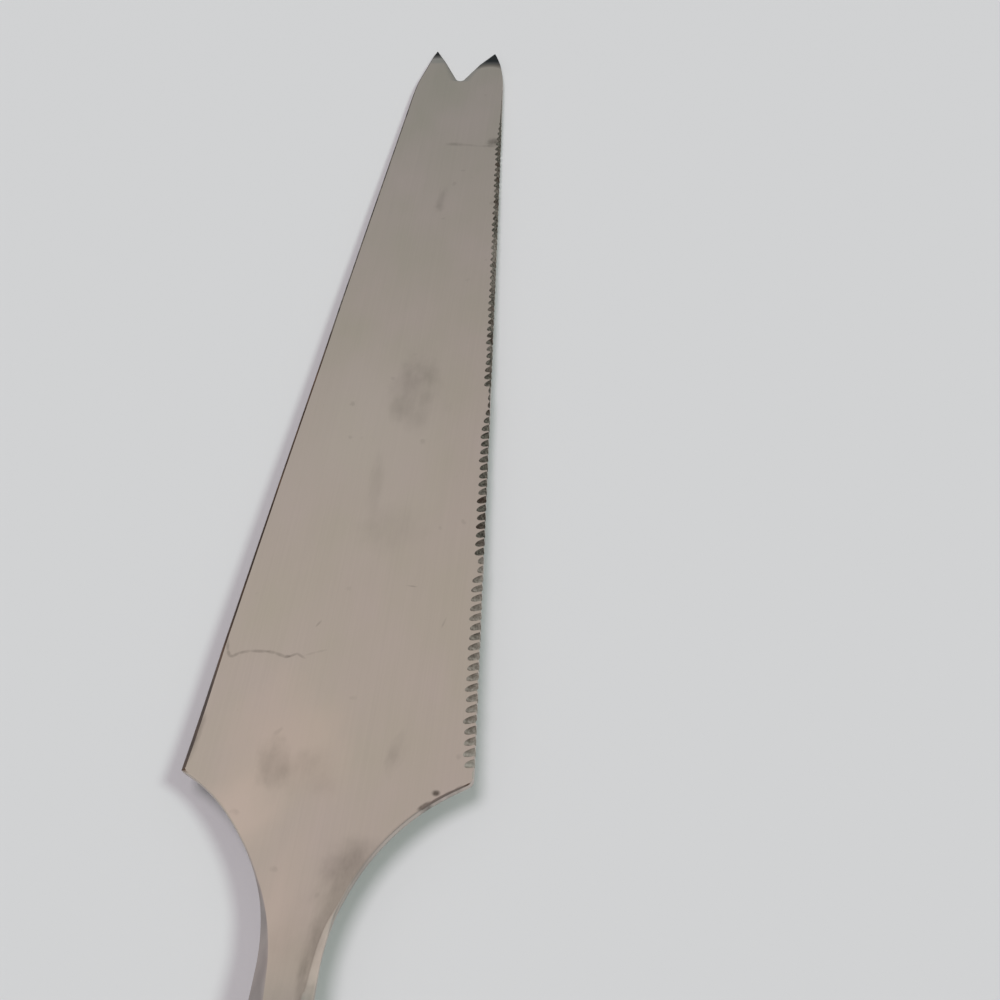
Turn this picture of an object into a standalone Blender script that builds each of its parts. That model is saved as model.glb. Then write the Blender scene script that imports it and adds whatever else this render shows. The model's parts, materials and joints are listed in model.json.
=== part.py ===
"""Carving knife with a wedge-shaped, saw-ground blade, a forked tip and a wooden handle on a stick tang.

Metres, +Z up. The knife is modelled in its own frame: Y runs along the blade towards the tip, X across it
with the saw-ground edge at +X, Z square to the blade's sides, and the origin is in the middle of the blade at
the line between the two heel corners. An empty then lays the whole knife down as it lies on a table, on the
two tine points and the belly of the grip, with the world origin under the middle of it.
"""

import math

import bmesh
import bpy
import numpy as np

# Blade plate
BLADE_LENGTH = 0.2025  # heel corners to midway between the tine points
HEEL_WIDTH = 0.0483
TIP_WIDTH = 0.0201  # straight sides carried on to the tine points
BLADE_THICKNESS = 0.0015
SIDE_BOW = 0.00015  # how far each side bellies out at mid-length
EDGE_BREAK = 0.00015

# Forked tip
TINE_CURVE_LENGTH = 0.0155  # the sides curve inward over this length
TINE_CURVE_DROP = 0.0022
TINE_LEAD = 0.002  # the tine on the spine's side stands this far ahead of the other
TINE_POINT_WIDTH = 0.0004
TINE_POINT_THICKNESS = 0.0007
TINE_GRIND_LENGTH = 0.006  # upper side ground down towards the points
NOTCH_DEPTH = 0.0135
NOTCH_ROOT_RADIUS = 0.0012

# Saw-ground edge
TOOTH_PITCH = 0.00195
LAND_WIDTH = 0.0004  # flat left between two gullets
PLAIN_HEEL = 0.0005
PLAIN_TIP = 0.0325
GULLET_REACH_HEEL = 0.0021  # how far a gullet runs in on the upper side
GULLET_REACH_TIP = 0.0012
GULLET_BITE = 0.0002  # how far it nicks the lower side's outline

# Stick tang
TANG_WIDTH = 0.0064
TANG_THICKNESS = 0.0044
TANG_BREAK = 0.0008
THREAD_SHOULDER = 0.0002  # step down from the tang's flat to its threaded end

# Heel and neck
HEEL_DEPTH = 0.030  # heel corners back to where the neck's sides run straight
HEEL_SWEEP = math.radians(65)  # how far each heel arc turns on its way to the neck
NECK_STRAIGHT = 0.011  # straight neck between the heel arcs and the shoulder
SHOULDER_ACROSS = 0.0015  # the neck stands out this far round the tang, at its sides
SHOULDER_THROUGH = 0.0013  # and on its flats
NECK_SWELL_LENGTH = 0.0135  # the neck thickens over this length, up to the shoulder
NECK_FACET = 0.0026  # width of each corner facet at the shoulder
NECK_FACET_LENGTH = 0.0195
NECK_FACET_SLOPE = 0.8

# Collar, spacers and grip
CLEARANCE = 0.0003
BEDDING_WALL_ACROSS = 0.0020
BEDDING_WALL_THROUGH = 0.0017
SPIGOT_WALL = 0.0015
FERRULE_WALL = 0.0019
FERRULE_LIP = 0.0012  # the collar's front stands out this far round the neck
FERRULE_NOSE_LENGTH = 0.006
FERRULE_SKIRT_LENGTH = 0.008
FERRULE_GROOVE_WIDTH = 0.0009
FERRULE_GROOVE_DEPTH = 0.0004
FERRULE_RIM = 0.0016  # from the groove to the collar's rear end
SPACER_THICKNESS = 0.0012
GRIP_FRONT_LENGTH = 0.056  # collar to belly
GRIP_REAR_LENGTH = 0.037  # belly to butt
BELLY_SWELL_ACROSS = 0.0060  # the belly is this much wider than the collar
BELLY_SWELL_THROUGH = 0.0038
BUTT_FLARE_ACROSS = 0.0030
BUTT_FLARE_THROUGH = 0.0018

# Butt cap, washer and nut
CAP_SKIRT_LENGTH = 0.006
CAP_WEB = 0.0025
CAP_ROUNDING = 0.003
CAP_RIM = 0.0006  # least flat left between the rounding and the nut's recess
WASHER_THICKNESS = 0.0008
WASHER_RIM = 0.0004  # the washer shows this far round the nut
NUT_WALL = 0.0020
NUT_HEIGHT = 0.003
NUT_CHAMFER = 0.0004
NUT_SINK = 0.0004  # the nut lies this far below the butt
SLOT_WIDTH = 0.0013
SLOT_DEPTH = 0.0011

# Facets
RING_SIDES = 32  # a multiple of 8, so that a rectangle's corners are among the points
NUT_SIDES = 24
HEEL_STEPS = 10
NECK_STEPS = 6
SIDE_STEPS = 8
TINE_STEPS = 6
GRIP_STEPS = 7
ROUNDING_STEPS = 5
GULLET_STEPS = 6
ROOT_STEPS = 8

# Stations along the knife, from the neck's shoulder back to the butt
SHOULDER_Y = -(HEEL_DEPTH + NECK_STRAIGHT)
FERRULE_FRONT_Y = SHOULDER_Y - CLEARANCE
FERRULE_FLOOR_Y = FERRULE_FRONT_Y - FERRULE_NOSE_LENGTH
FERRULE_REAR_Y = FERRULE_FLOOR_Y - FERRULE_SKIRT_LENGTH
SPIGOT_FRONT_Y = FERRULE_FLOOR_Y - CLEARANCE
FRONT_SPACER_Y = FERRULE_REAR_Y - CLEARANCE
GRIP_FRONT_Y = FRONT_SPACER_Y - SPACER_THICKNESS - CLEARANCE
BELLY_Y = GRIP_FRONT_Y - GRIP_FRONT_LENGTH
GRIP_REAR_Y = BELLY_Y - GRIP_REAR_LENGTH
REAR_SPACER_Y = GRIP_REAR_Y - CLEARANCE
CAP_FRONT_Y = REAR_SPACER_Y - SPACER_THICKNESS - CLEARANCE
CAP_FLOOR_Y = CAP_FRONT_Y - CAP_SKIRT_LENGTH
SPIGOT_REAR_Y = CAP_FLOOR_Y + CLEARANCE
CAP_SEAT_Y = CAP_FLOOR_Y - CAP_WEB
WASHER_Y = CAP_SEAT_Y - CLEARANCE
NUT_Y = WASHER_Y - WASHER_THICKNESS - CLEARANCE
NUT_REAR_Y = NUT_Y - NUT_HEIGHT
CAP_REAR_Y = NUT_REAR_Y - NUT_SINK
THREAD_END_Y = NUT_REAR_Y + SLOT_DEPTH + CLEARANCE

# Half-sizes across (X) and through (Z), from the tang outwards
TANG_HALF = np.array([TANG_WIDTH, TANG_THICKNESS]) / 2
NECK_HALF = TANG_HALF + np.array([SHOULDER_ACROSS, SHOULDER_THROUGH])
TANG_HOLE = TANG_HALF + CLEARANCE
BEDDING_HALF = TANG_HOLE + np.array([BEDDING_WALL_ACROSS, BEDDING_WALL_THROUGH])
BORE_HALF = BEDDING_HALF + CLEARANCE
SPIGOT_HALF = BORE_HALF + SPIGOT_WALL
SOCKET_HALF = SPIGOT_HALF + CLEARANCE
COLLAR_HALF = SOCKET_HALF + FERRULE_WALL
NOSE_HALF = NECK_HALF + FERRULE_LIP
BELLY_HALF = COLLAR_HALF + np.array([BELLY_SWELL_ACROSS, BELLY_SWELL_THROUGH]) / 2
BUTT_HALF = COLLAR_HALF + np.array([BUTT_FLARE_ACROSS, BUTT_FLARE_THROUGH]) / 2
THREAD_RADIUS = TANG_THICKNESS / 2 - THREAD_SHOULDER
THREAD_HOLE_RADIUS = THREAD_RADIUS + CLEARANCE
NUT_RADIUS = THREAD_HOLE_RADIUS + NUT_WALL
WASHER_RADIUS = NUT_RADIUS + WASHER_RIM
RECESS_RADIUS = WASHER_RADIUS + CLEARANCE
BUTT_ROUNDING = min(CAP_ROUNDING, BUTT_HALF.min() - RECESS_RADIUS - CAP_RIM)


def smooth(t):
    """Ease from 0 to 1 with level ends."""
    t = np.clip(t, 0, 1)
    return t * t * (3 - 2 * t)


def oval(half, y, sides=RING_SIDES):
    """Points of an ellipse round the Y axis."""
    angle = np.arange(sides) * 2 * math.pi / sides
    return np.column_stack([half[0] * np.cos(angle), np.full(sides, y), half[1] * np.sin(angle)])


def circle(radius, y, sides=RING_SIDES):
    """Points of a circle round the Y axis."""
    return oval((radius, radius), y, sides)


def rectangle(half, y, sides=RING_SIDES):
    """Points of a rectangle round the Y axis, in step with those of an oval, corners included."""
    unit = oval((1, 1), y, sides)
    reach = np.maximum(np.abs(unit[:, 0]), np.abs(unit[:, 2]))
    return np.column_stack([half[0] * unit[:, 0] / reach, unit[:, 1], half[1] * unit[:, 2] / reach])


def octagon(half_width, top, bottom, facet_run, facet_drop, y):
    """A bar's section with its four corners cut off by facets."""
    inner = half_width - facet_run
    corners = [
        (half_width, bottom + facet_drop),
        (half_width, top - facet_drop),
        (inner, top),
        (-inner, top),
        (-half_width, top - facet_drop),
        (-half_width, bottom + facet_drop),
        (-inner, bottom),
        (inner, bottom),
    ]
    return np.array([(x, y, z) for x, z in corners])


def skin(mesh, rings, hollow):
    """Join each ring to the next; a hollow piece runs back to its first ring, a solid one is capped."""
    loops = [[mesh.verts.new(point) for point in ring] for ring in rings]
    following = loops[1:] + loops[:1] if hollow else loops[1:]
    for near, far in zip(loops, following):
        for i in range(len(near)):
            j = (i + 1) % len(near)
            mesh.faces.new((near[i], near[j], far[j], far[i]))
    if not hollow:
        mesh.faces.new(loops[0])
        mesh.faces.new(loops[-1])


def material(name, colour, roughness, metallic):
    """A plain Principled material."""
    made = bpy.data.materials.new(name)
    made.use_nodes = True
    shader = made.node_tree.nodes["Principled BSDF"]
    shader.inputs["Base Color"].default_value = (*colour, 1)
    shader.inputs["Roughness"].default_value = roughness
    shader.inputs["Metallic"].default_value = metallic
    return made


def piece(name, mesh, parent, finish=None):
    """Turn a bmesh into a named object; without a finish it is only a tool that cuts or joins."""
    bmesh.ops.recalc_face_normals(mesh, faces=mesh.faces)
    data = bpy.data.meshes.new(name)
    mesh.to_mesh(data)
    mesh.free()
    made = bpy.data.objects.new(name, data)
    made.parent = parent
    bpy.context.scene.collection.objects.link(made)
    if finish:
        data.materials.append(finish)
        data.shade_smooth()
        data.set_sharp_from_angle(angle=math.radians(30))
    else:
        made.hide_render = True
        made.display_type = "WIRE"
    return made


def lofted(name, rings, parent, finish=None, hollow=True):
    """A piece skinned over rings."""
    mesh = bmesh.new()
    skin(mesh, rings, hollow)
    return piece(name, mesh, parent, finish)


def combine(target, tool, operation):
    """Boolean of a target with a tool."""
    step = target.modifiers.new(tool.name, "BOOLEAN")
    step.operation = operation
    step.solver = "EXACT"
    step.object = tool


def tine_share(y):
    """How far into the tines a place lies: 0 where the sides start to curve, 1 at the points."""
    return max(0.0, 1 - (BLADE_LENGTH - y) / TINE_CURVE_LENGTH)


def blade_half_width(y):
    """Half the plate's width: a straight taper, a slight belly, and sides that curve in at the tip."""
    along = y / BLADE_LENGTH
    taper = (HEEL_WIDTH + (TIP_WIDTH - HEEL_WIDTH) * along) / 2
    return taper + 4 * SIDE_BOW * along * (1 - along) - TINE_CURVE_DROP * tine_share(y) ** 2


def lean(points, share=1.0):
    """Slide points along the blade by their place across it, so that the spine's tine leads."""
    slant = TINE_LEAD / (2 * blade_half_width(BLADE_LENGTH))
    return points - share * slant * points[:, :1] * np.eye(points.shape[1])[1]


def heel_station(turn):
    """Place along the knife where a heel arc has turned this far from the straight neck."""
    return HEEL_DEPTH * (math.sin(turn) / math.sin(HEEL_SWEEP) - 1)


def neck_half_width(y):
    """Half-width behind the heel: one concave arc from the heel corner, tangent to the straight neck."""
    rise = np.clip(1 + y / HEEL_DEPTH, 0, 1)
    turn = math.asin(rise * math.sin(HEEL_SWEEP))
    spread = (1 - math.cos(turn)) / (1 - math.cos(HEEL_SWEEP))
    return NECK_HALF[0] + (HEEL_WIDTH / 2 - NECK_HALF[0]) * spread


def plate_section(y):
    """Section of the plate, whose upper side is ground down towards the tine points."""
    ground = max(0.0, 1 - (BLADE_LENGTH - y) / TINE_GRIND_LENGTH)
    half = BLADE_THICKNESS / 2
    top = half - (BLADE_THICKNESS - TINE_POINT_THICKNESS) * ground
    return lean(octagon(blade_half_width(y), top, -half, EDGE_BREAK, EDGE_BREAK, y), tine_share(y))


def neck_section(y):
    """Section of the neck: it thickens towards the shoulder and its corners widen into facets."""
    swell = max(0.0, 1 + (SHOULDER_Y - y) / NECK_SWELL_LENGTH)
    half = BLADE_THICKNESS / 2 + (NECK_HALF[1] - BLADE_THICKNESS / 2) * swell**2
    spread = max(0.0, 1 + (SHOULDER_Y - y) / NECK_FACET_LENGTH)
    run = max(EDGE_BREAK, NECK_FACET * spread**0.7)
    drop = min(NECK_FACET_SLOPE * run, 0.7 * half)
    return octagon(neck_half_width(y), half, -half, run, drop, y)


def blade_rings():
    """Sections from the tang's end to the tine points."""
    width, thickness = TANG_HALF
    tang_ends = (SPIGOT_REAR_Y, SHOULDER_Y)
    tang = [octagon(width, thickness, -thickness, TANG_BREAK, TANG_BREAK, y) for y in tang_ends]
    neck = [neck_section(y) for y in np.linspace(SHOULDER_Y, -HEEL_DEPTH, NECK_STEPS)]
    heel = [neck_section(heel_station(turn)) for turn in np.linspace(0, HEEL_SWEEP, HEEL_STEPS + 1)[1:-1]]
    bend_y = BLADE_LENGTH - TINE_CURVE_LENGTH
    grind_y = BLADE_LENGTH - TINE_GRIND_LENGTH
    sides = np.linspace(0, bend_y, SIDE_STEPS)
    tines = np.linspace(bend_y, BLADE_LENGTH, TINE_STEPS + 1)[1:]
    stations = np.unique(np.concatenate([sides, tines, [grind_y]]))
    return tang + neck + heel + [plate_section(y) for y in stations]


def notch_outline():
    """The fork's V: a round root, and flanks tangent to it that run out past the tine points."""
    mouth = blade_half_width(BLADE_LENGTH) - TINE_POINT_WIDTH
    centre_y = BLADE_LENGTH - NOTCH_DEPTH + NOTCH_ROOT_RADIUS
    rise = BLADE_LENGTH - centre_y
    distance = math.hypot(mouth, rise)
    touch = math.atan2(rise, mouth) - math.acos(NOTCH_ROOT_RADIUS / distance)
    angles = np.linspace(touch, -math.pi - touch, ROOT_STEPS + 1)
    root_x = NOTCH_ROOT_RADIUS * np.cos(angles)
    root_y = centre_y + NOTCH_ROOT_RADIUS * np.sin(angles)
    past_x = 2 * mouth - root_x[0]
    past_y = 2 * BLADE_LENGTH - root_y[0]
    return lean(np.array([(past_x, past_y), *zip(root_x, root_y), (-past_x, past_y)]))


def make_notch(parent):
    """Prism that cuts the fork."""
    mesh = bmesh.new()
    floor = mesh.faces.new([mesh.verts.new((x, y, -BLADE_THICKNESS)) for x, y in notch_outline()])
    raised = bmesh.ops.extrude_face_region(mesh, geom=[floor])["geom"]
    moved = [item for item in raised if isinstance(item, bmesh.types.BMVert)]
    bmesh.ops.translate(mesh, verts=moved, vec=(0, 0, 2 * BLADE_THICKNESS))
    return piece("fork_notch", mesh, parent)


def gullet_rings(y, reach):
    """Two ends of one grinding cut: a U with an elliptic floor that climbs from lower to upper side."""
    step = TOOTH_PITCH / 10
    slope = (blade_half_width(y + step) - blade_half_width(y - step)) / (2 * step)
    along = np.array([slope, 1, 0]) / math.hypot(slope, 1)
    inward = np.array([-along[1], along[0], 0])
    climb = BLADE_THICKNESS / (reach - GULLET_BITE)
    depth = BLADE_THICKNESS + climb * GULLET_BITE
    half = (TOOTH_PITCH - LAND_WIDTH) / 2
    angles = np.linspace(math.pi, 2 * math.pi, GULLET_STEPS + 1)
    across = np.concatenate([half * np.cos(angles), [half, -half]])
    height = np.concatenate([depth * np.sin(angles), [depth, depth]])
    edge = np.array([blade_half_width(y), y, BLADE_THICKNESS / 2])
    ends = []
    for inset in (-reach / 4, 5 * reach / 4):
        centre = edge + inset * inward + np.array([0, 0, climb * inset])
        ends.append(centre + across[:, None] * along + height[:, None] * np.array([0, 0, 1]))
    return ends


def make_gullets(parent):
    """All the cuts of the saw-ground edge, evenly spaced from the heel to the plain tip."""
    taper = math.atan2((HEEL_WIDTH - TIP_WIDTH) / 2, BLADE_LENGTH)
    run = BLADE_LENGTH / math.cos(taper) - PLAIN_HEEL - PLAIN_TIP
    count = int(run / TOOTH_PITCH)
    mesh = bmesh.new()
    for tooth in range(count):
        y = (PLAIN_HEEL + (tooth + 0.5) * TOOTH_PITCH) * math.cos(taper)
        reach = GULLET_REACH_HEEL + (GULLET_REACH_TIP - GULLET_REACH_HEEL) * tooth / count
        skin(mesh, gullet_rings(y, reach), hollow=False)
    return piece("gullets", mesh, parent)


def make_blade(parent, finish):
    """Plate, neck and tang in one forging, with its threaded end, forked tip and saw-ground edge."""
    blade = lofted("blade", blade_rings(), parent, finish, hollow=False)
    thread = [circle(THREAD_RADIUS, y) for y in (SPIGOT_REAR_Y + THREAD_RADIUS, THREAD_END_Y)]
    combine(blade, lofted("tang_thread", thread, parent, hollow=False), "UNION")
    combine(blade, make_notch(parent), "DIFFERENCE")
    combine(blade, make_gullets(parent), "DIFFERENCE")


def make_ferrule(parent, finish):
    """Collar: a domed nose pierced for the tang, and a grooved skirt over the grip's front spigot."""
    turn = np.linspace(0, math.pi / 2, ROUNDING_STEPS + 1)
    dome = COLLAR_HALF - NOSE_HALF
    nose = [
        oval(NOSE_HALF + dome * math.sin(a), FERRULE_FRONT_Y - FERRULE_NOSE_LENGTH * (1 - math.cos(a)))
        for a in turn
    ]
    groove_y = FERRULE_REAR_Y + FERRULE_RIM
    groove = [
        oval(COLLAR_HALF, groove_y + FERRULE_GROOVE_WIDTH),
        oval(COLLAR_HALF - FERRULE_GROOVE_DEPTH, groove_y + FERRULE_GROOVE_WIDTH / 2),
        oval(COLLAR_HALF, groove_y),
    ]
    inside = [
        oval(COLLAR_HALF, FERRULE_REAR_Y),
        oval(SOCKET_HALF, FERRULE_REAR_Y),
        oval(SOCKET_HALF, FERRULE_FLOOR_Y),
        rectangle(TANG_HOLE, FERRULE_FLOOR_Y),
        rectangle(TANG_HOLE, FERRULE_FRONT_Y),
    ]
    lofted("ferrule", nose + groove + inside, parent, finish)


def make_spacer(name, half, front_y, parent, finish):
    """Flat oval ring round a spigot of the grip."""
    rear_y = front_y - SPACER_THICKNESS
    outside = [oval(half, front_y), oval(half, rear_y)]
    inside = [oval(SOCKET_HALF, rear_y), oval(SOCKET_HALF, front_y)]
    lofted(name, outside + inside, parent, finish)


def grip_half(y):
    """Half-sizes of the grip: collar to belly to butt, level where they meet."""
    if y > BELLY_Y:
        return BELLY_HALF + (COLLAR_HALF - BELLY_HALF) * smooth((y - BELLY_Y) / GRIP_FRONT_LENGTH)
    return BELLY_HALF + (BUTT_HALF - BELLY_HALF) * smooth((BELLY_Y - y) / GRIP_REAR_LENGTH)


def grip_stations():
    """Places along the grip, from its front to its butt."""
    front = np.linspace(GRIP_FRONT_Y, BELLY_Y, GRIP_STEPS + 1)
    rear = np.linspace(BELLY_Y, GRIP_REAR_Y, GRIP_STEPS)
    return np.concatenate([front, rear[1:]])


def make_grip(parent, finish):
    """Oval grip with a spigot at each end, bored right through."""
    ahead = [oval(SPIGOT_HALF, SPIGOT_FRONT_Y), oval(SPIGOT_HALF, GRIP_FRONT_Y)]
    body = [oval(grip_half(y), y) for y in grip_stations()]
    behind = [oval(SPIGOT_HALF, GRIP_REAR_Y), oval(SPIGOT_HALF, SPIGOT_REAR_Y)]
    bore = [oval(BORE_HALF, SPIGOT_REAR_Y), oval(BORE_HALF, SPIGOT_FRONT_Y)]
    lofted("handle_grip", ahead + body + behind + bore, parent, finish)


def make_bedding(parent, finish):
    """Resin sleeve between the tang and the grip's bore."""
    outside = [oval(BEDDING_HALF, SPIGOT_FRONT_Y), oval(BEDDING_HALF, SPIGOT_REAR_Y)]
    inside = [rectangle(TANG_HOLE, SPIGOT_REAR_Y), rectangle(TANG_HOLE, SPIGOT_FRONT_Y)]
    lofted("tang_bedding", outside + inside, parent, finish)


def make_cap(parent, finish):
    """Butt cap: a skirt over the rear spigot, a web for the thread, a rounded end with the nut's recess."""
    turn = np.linspace(0, math.pi / 2, ROUNDING_STEPS + 1)
    rounding = [
        oval(BUTT_HALF - BUTT_ROUNDING * (1 - math.cos(a)), CAP_REAR_Y + BUTT_ROUNDING * (1 - math.sin(a)))
        for a in turn
    ]
    recess = [
        circle(RECESS_RADIUS, CAP_REAR_Y),
        circle(RECESS_RADIUS, CAP_SEAT_Y),
        circle(THREAD_HOLE_RADIUS, CAP_SEAT_Y),
        circle(THREAD_HOLE_RADIUS, CAP_FLOOR_Y),
    ]
    socket = [oval(SOCKET_HALF, CAP_FLOOR_Y), oval(SOCKET_HALF, CAP_FRONT_Y)]
    lofted("end_cap", [oval(BUTT_HALF, CAP_FRONT_Y)] + rounding + recess + socket, parent, finish)


def make_washer(parent, finish):
    """Flat washer under the nut."""
    rear_y = WASHER_Y - WASHER_THICKNESS
    outside = [circle(WASHER_RADIUS, WASHER_Y, NUT_SIDES), circle(WASHER_RADIUS, rear_y, NUT_SIDES)]
    inside = [circle(THREAD_HOLE_RADIUS, rear_y, NUT_SIDES), circle(THREAD_HOLE_RADIUS, WASHER_Y, NUT_SIDES)]
    lofted("washer", outside + inside, parent, finish)


def make_nut(parent, finish):
    """Round nut with a chamfered rear rim and a screwdriver slot."""
    outside = [
        circle(NUT_RADIUS, NUT_Y, NUT_SIDES),
        circle(NUT_RADIUS, NUT_REAR_Y + NUT_CHAMFER, NUT_SIDES),
        circle(NUT_RADIUS - NUT_CHAMFER, NUT_REAR_Y, NUT_SIDES),
    ]
    inside = [circle(THREAD_HOLE_RADIUS, NUT_REAR_Y, NUT_SIDES), circle(THREAD_HOLE_RADIUS, NUT_Y, NUT_SIDES)]
    nut = lofted("tang_nut", outside + inside, parent, finish)
    slot_half = (2 * NUT_RADIUS, SLOT_WIDTH / 2)
    slot = [rectangle(slot_half, NUT_REAR_Y + ahead, 8) for ahead in (SLOT_DEPTH, -SLOT_DEPTH)]
    combine(nut, lofted("nut_slot", slot, parent, hollow=False), "DIFFERENCE")


def rest_tilt():
    """Angle at which the knife lies on its tine points and the lowest of its handle."""
    point_y = BLADE_LENGTH + TINE_LEAD / 2
    drops = [(grip_half(y)[1] - BLADE_THICKNESS / 2) / (point_y - y) for y in grip_stations()]
    butt_y = CAP_REAR_Y + BUTT_ROUNDING
    drops.append((BUTT_HALF[1] - BLADE_THICKNESS / 2) / (point_y - butt_y))
    return math.atan(max(drops))


def lay_down(knife):
    """Tilt the knife and put the origin under the middle of its box."""
    knife.rotation_euler.x = -rest_tilt()
    bpy.context.view_layer.update()
    graph = bpy.context.evaluated_depsgraph_get()
    corners = []
    for child in knife.children:
        if not child.hide_render:
            shape = child.evaluated_get(graph)
            points = np.array([child.matrix_world @ vertex.co for vertex in shape.data.vertices])
            corners += [points.min(axis=0), points.max(axis=0)]
    low = np.min(corners, axis=0)
    high = np.max(corners, axis=0)
    knife.location = (-(low[0] + high[0]) / 2, -(low[1] + high[1]) / 2, -low[2])


def main():
    for old in list(bpy.data.objects):
        bpy.data.objects.remove(old)
    blade_steel = material("satin_blade_steel", (0.38, 0.33, 0.29), 0.38, 1.0)
    collar_steel = material("polished_collar_steel", (0.55, 0.53, 0.50), 0.22, 1.0)
    nut_steel = material("turned_nut_steel", (0.48, 0.46, 0.44), 0.30, 1.0)
    fibre = material("black_fibre", (0.012, 0.011, 0.010), 0.60, 0.0)
    rosewood = material("oiled_rosewood", (0.16, 0.055, 0.028), 0.42, 0.0)
    resin = material("bedding_resin", (0.10, 0.05, 0.03), 0.50, 0.0)
    knife = bpy.data.objects.new("carving_knife", None)
    bpy.context.scene.collection.objects.link(knife)
    make_blade(knife, blade_steel)
    make_ferrule(knife, collar_steel)
    make_spacer("front_spacer", COLLAR_HALF, FRONT_SPACER_Y, knife, fibre)
    make_grip(knife, rosewood)
    make_bedding(knife, resin)
    make_spacer("rear_spacer", BUTT_HALF, REAR_SPACER_Y, knife, fibre)
    make_cap(knife, collar_steel)
    make_washer(knife, nut_steel)
    make_nut(knife, nut_steel)
    lay_down(knife)


main()
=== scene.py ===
"""Looks of the carving knife: a saw-ground steel blade with a forked tip, and an oiled rosewood handle.

Shapes are worked out in millimetres in the knife's own frame: X across the blade, with the saw-ground edge
at +X, Y along it towards the tip, and Z square to its sides. The origin lies in the plate's middle, between
the heel corners.
"""

import json
import math

import bmesh
import bpy
import numpy as np
from mathutils import Matrix

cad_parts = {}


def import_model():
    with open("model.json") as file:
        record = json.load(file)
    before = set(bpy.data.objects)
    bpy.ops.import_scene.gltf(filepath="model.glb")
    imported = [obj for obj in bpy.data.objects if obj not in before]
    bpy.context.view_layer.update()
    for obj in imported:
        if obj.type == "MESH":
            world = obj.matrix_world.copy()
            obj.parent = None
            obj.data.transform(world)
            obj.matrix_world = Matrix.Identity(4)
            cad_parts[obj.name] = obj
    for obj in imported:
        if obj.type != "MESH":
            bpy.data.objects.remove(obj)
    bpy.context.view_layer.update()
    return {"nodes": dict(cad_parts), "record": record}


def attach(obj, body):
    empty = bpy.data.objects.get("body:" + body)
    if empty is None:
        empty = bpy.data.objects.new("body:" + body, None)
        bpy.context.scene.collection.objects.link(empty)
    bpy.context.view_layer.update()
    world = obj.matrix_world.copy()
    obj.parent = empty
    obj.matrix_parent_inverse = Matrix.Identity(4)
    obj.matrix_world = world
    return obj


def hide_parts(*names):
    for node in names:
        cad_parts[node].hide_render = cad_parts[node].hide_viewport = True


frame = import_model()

# The two sides of the blade, each with the sign of X there
RIGHT = 1
LEFT = -1

# Blade, in millimetres
BLADE_LENGTH = 202.5
HEEL_WIDTH = 48.3
TIP_WIDTH = 20.1
THICKNESS = 1.5
SIDE_BOW = 0.15
SPINE_BREAK_AT = (0, 5, 10, 16, 24, 60, 92, 108, 175, 190)
SPINE_BREAK = (1.0, 1.05, 1.02, 0.9, 0.72, 0.58, 0.6, 0.46, 0.44, 0.25)  # worn left edge at these places
HEEL_BREAK = 0.3
HEEL_BREAK_END = 0.3  # this far either side of the heel corner it gives way to the plate's own break
LOWER_BREAK = 0.12
ROUND_BREAK = 0.5  # a break up to this wide is round
FLAT_BREAK = 0.9  # and from this width on it is a flat facet
LARGEST_SHARE = 0.3  # of the half-width, for breaks and for the strip along the edge
STEEPEST_OUTLINE = 2.2
CORNER_SOFTNESS = {RIGHT: 0.7, LEFT: 0.3}  # of the heel corners
SHADE_AND_RUST_CORNER = (-5.0, 0.05)  # along here the right edge's rim has painted shade with some rust
LEAST_WALL = 0.04
EDGE_HOLD = 0.06  # a column this close keeps the upper side flat up to the edge
UPPER_STEPS = np.array([0, 0.25, 0.5, 0.75, 0.94, 1])  # columns from the middle to the strip along the edge
EDGE_STEPS = 8  # columns over the edge
STRIP_LEAST = 0.15  # share of the width inside the break that the strip has at least
STRIP_CLEARANCE = 0.1  # and its least share inside a gullet
ROUND_STEPS = np.array([0, 0.29, 1])  # columns over a small round
NECK_ROWS, HEEL_ROWS, CORNER_ROWS, PLAIN_ROWS = 16, 48, 30, 26
ROOT_ROWS, FLANK_ROWS = 12, 30  # along the fork
CORNER_START = -1.6  # the close rows round the heel corner start here
STEEL, GULLET, EDGE = range(3)  # finishes of the forging
SHARP_ANGLE = 35  # degrees between two faces from which their edge is sharp
BLADE_SHARP_ANGLE = 30

# Forked tip
TINE_CURVE_LENGTH = 15.5
TINE_CURVE_DROP = 2.2
TINE_LEAD = 2.0
TINE_POINT_WIDTH = 0.4
TINE_GRIND_DROP = 0.8
TINE_GRIND_LENGTH = 6.0
LEFT_TINE_WEAR = 0.75  # the left tine's shoulder was ground flatter, most of all at this place
LEFT_TINE_WEAR_Y = 195.0
LEFT_TINE_WEAR_SPREAD = 6.5
LEFT_TINE_WEAR_FADE = 4.0  # over this length it runs out to nothing at the point
NOTCH_DEPTH = 13.5
NOTCH_ROOT_RADIUS = 1.2
NOTCH_BREAK = 0.18

# Saw-ground edge
TOOTH_PITCH = 1.95
LAND_WIDTH_AT = (34, 48)
LAND_WIDTH = (0.52, 0.3)
GULLET_BLUNTNESS = (2.3, 2.0)  # power of the gullet's outline at the same places
PLAIN_HEEL = 0.5
PLAIN_TIP = 30.5
GULLET_STEPS = np.array([-1, -0.97, -0.86, -0.64, -0.34, 0, 0.34, 0.64, 0.86, 0.97, 1])
GULLET_REACH_AT = (0, 34, 44, 78, 88, 170)
GULLET_REACH = (2.05, 1.88, 1.62, 1.5, 1.27, 1.15)
GULLET_BITE = 0.2
GULLET_STRIP = 2.7
GULLET_SLANT = 0.34  # the wheel crossed the edge askew, so each gullet runs towards the heel as it goes in
GULLET_SLANT_END = 0.3  # last part of the strip, over which the slant goes back to nothing
GULLET_SLANT_FADE = 3.0  # and the length for that before the first gullet and after the last
GULLET_SEED = 11
GULLET_WEAR = (0.88, 1.06)  # least and most share of the full depth
WORN_HEEL_TEETH = (0.12, 0.75, 0.9)  # share left on the first teeth
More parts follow.
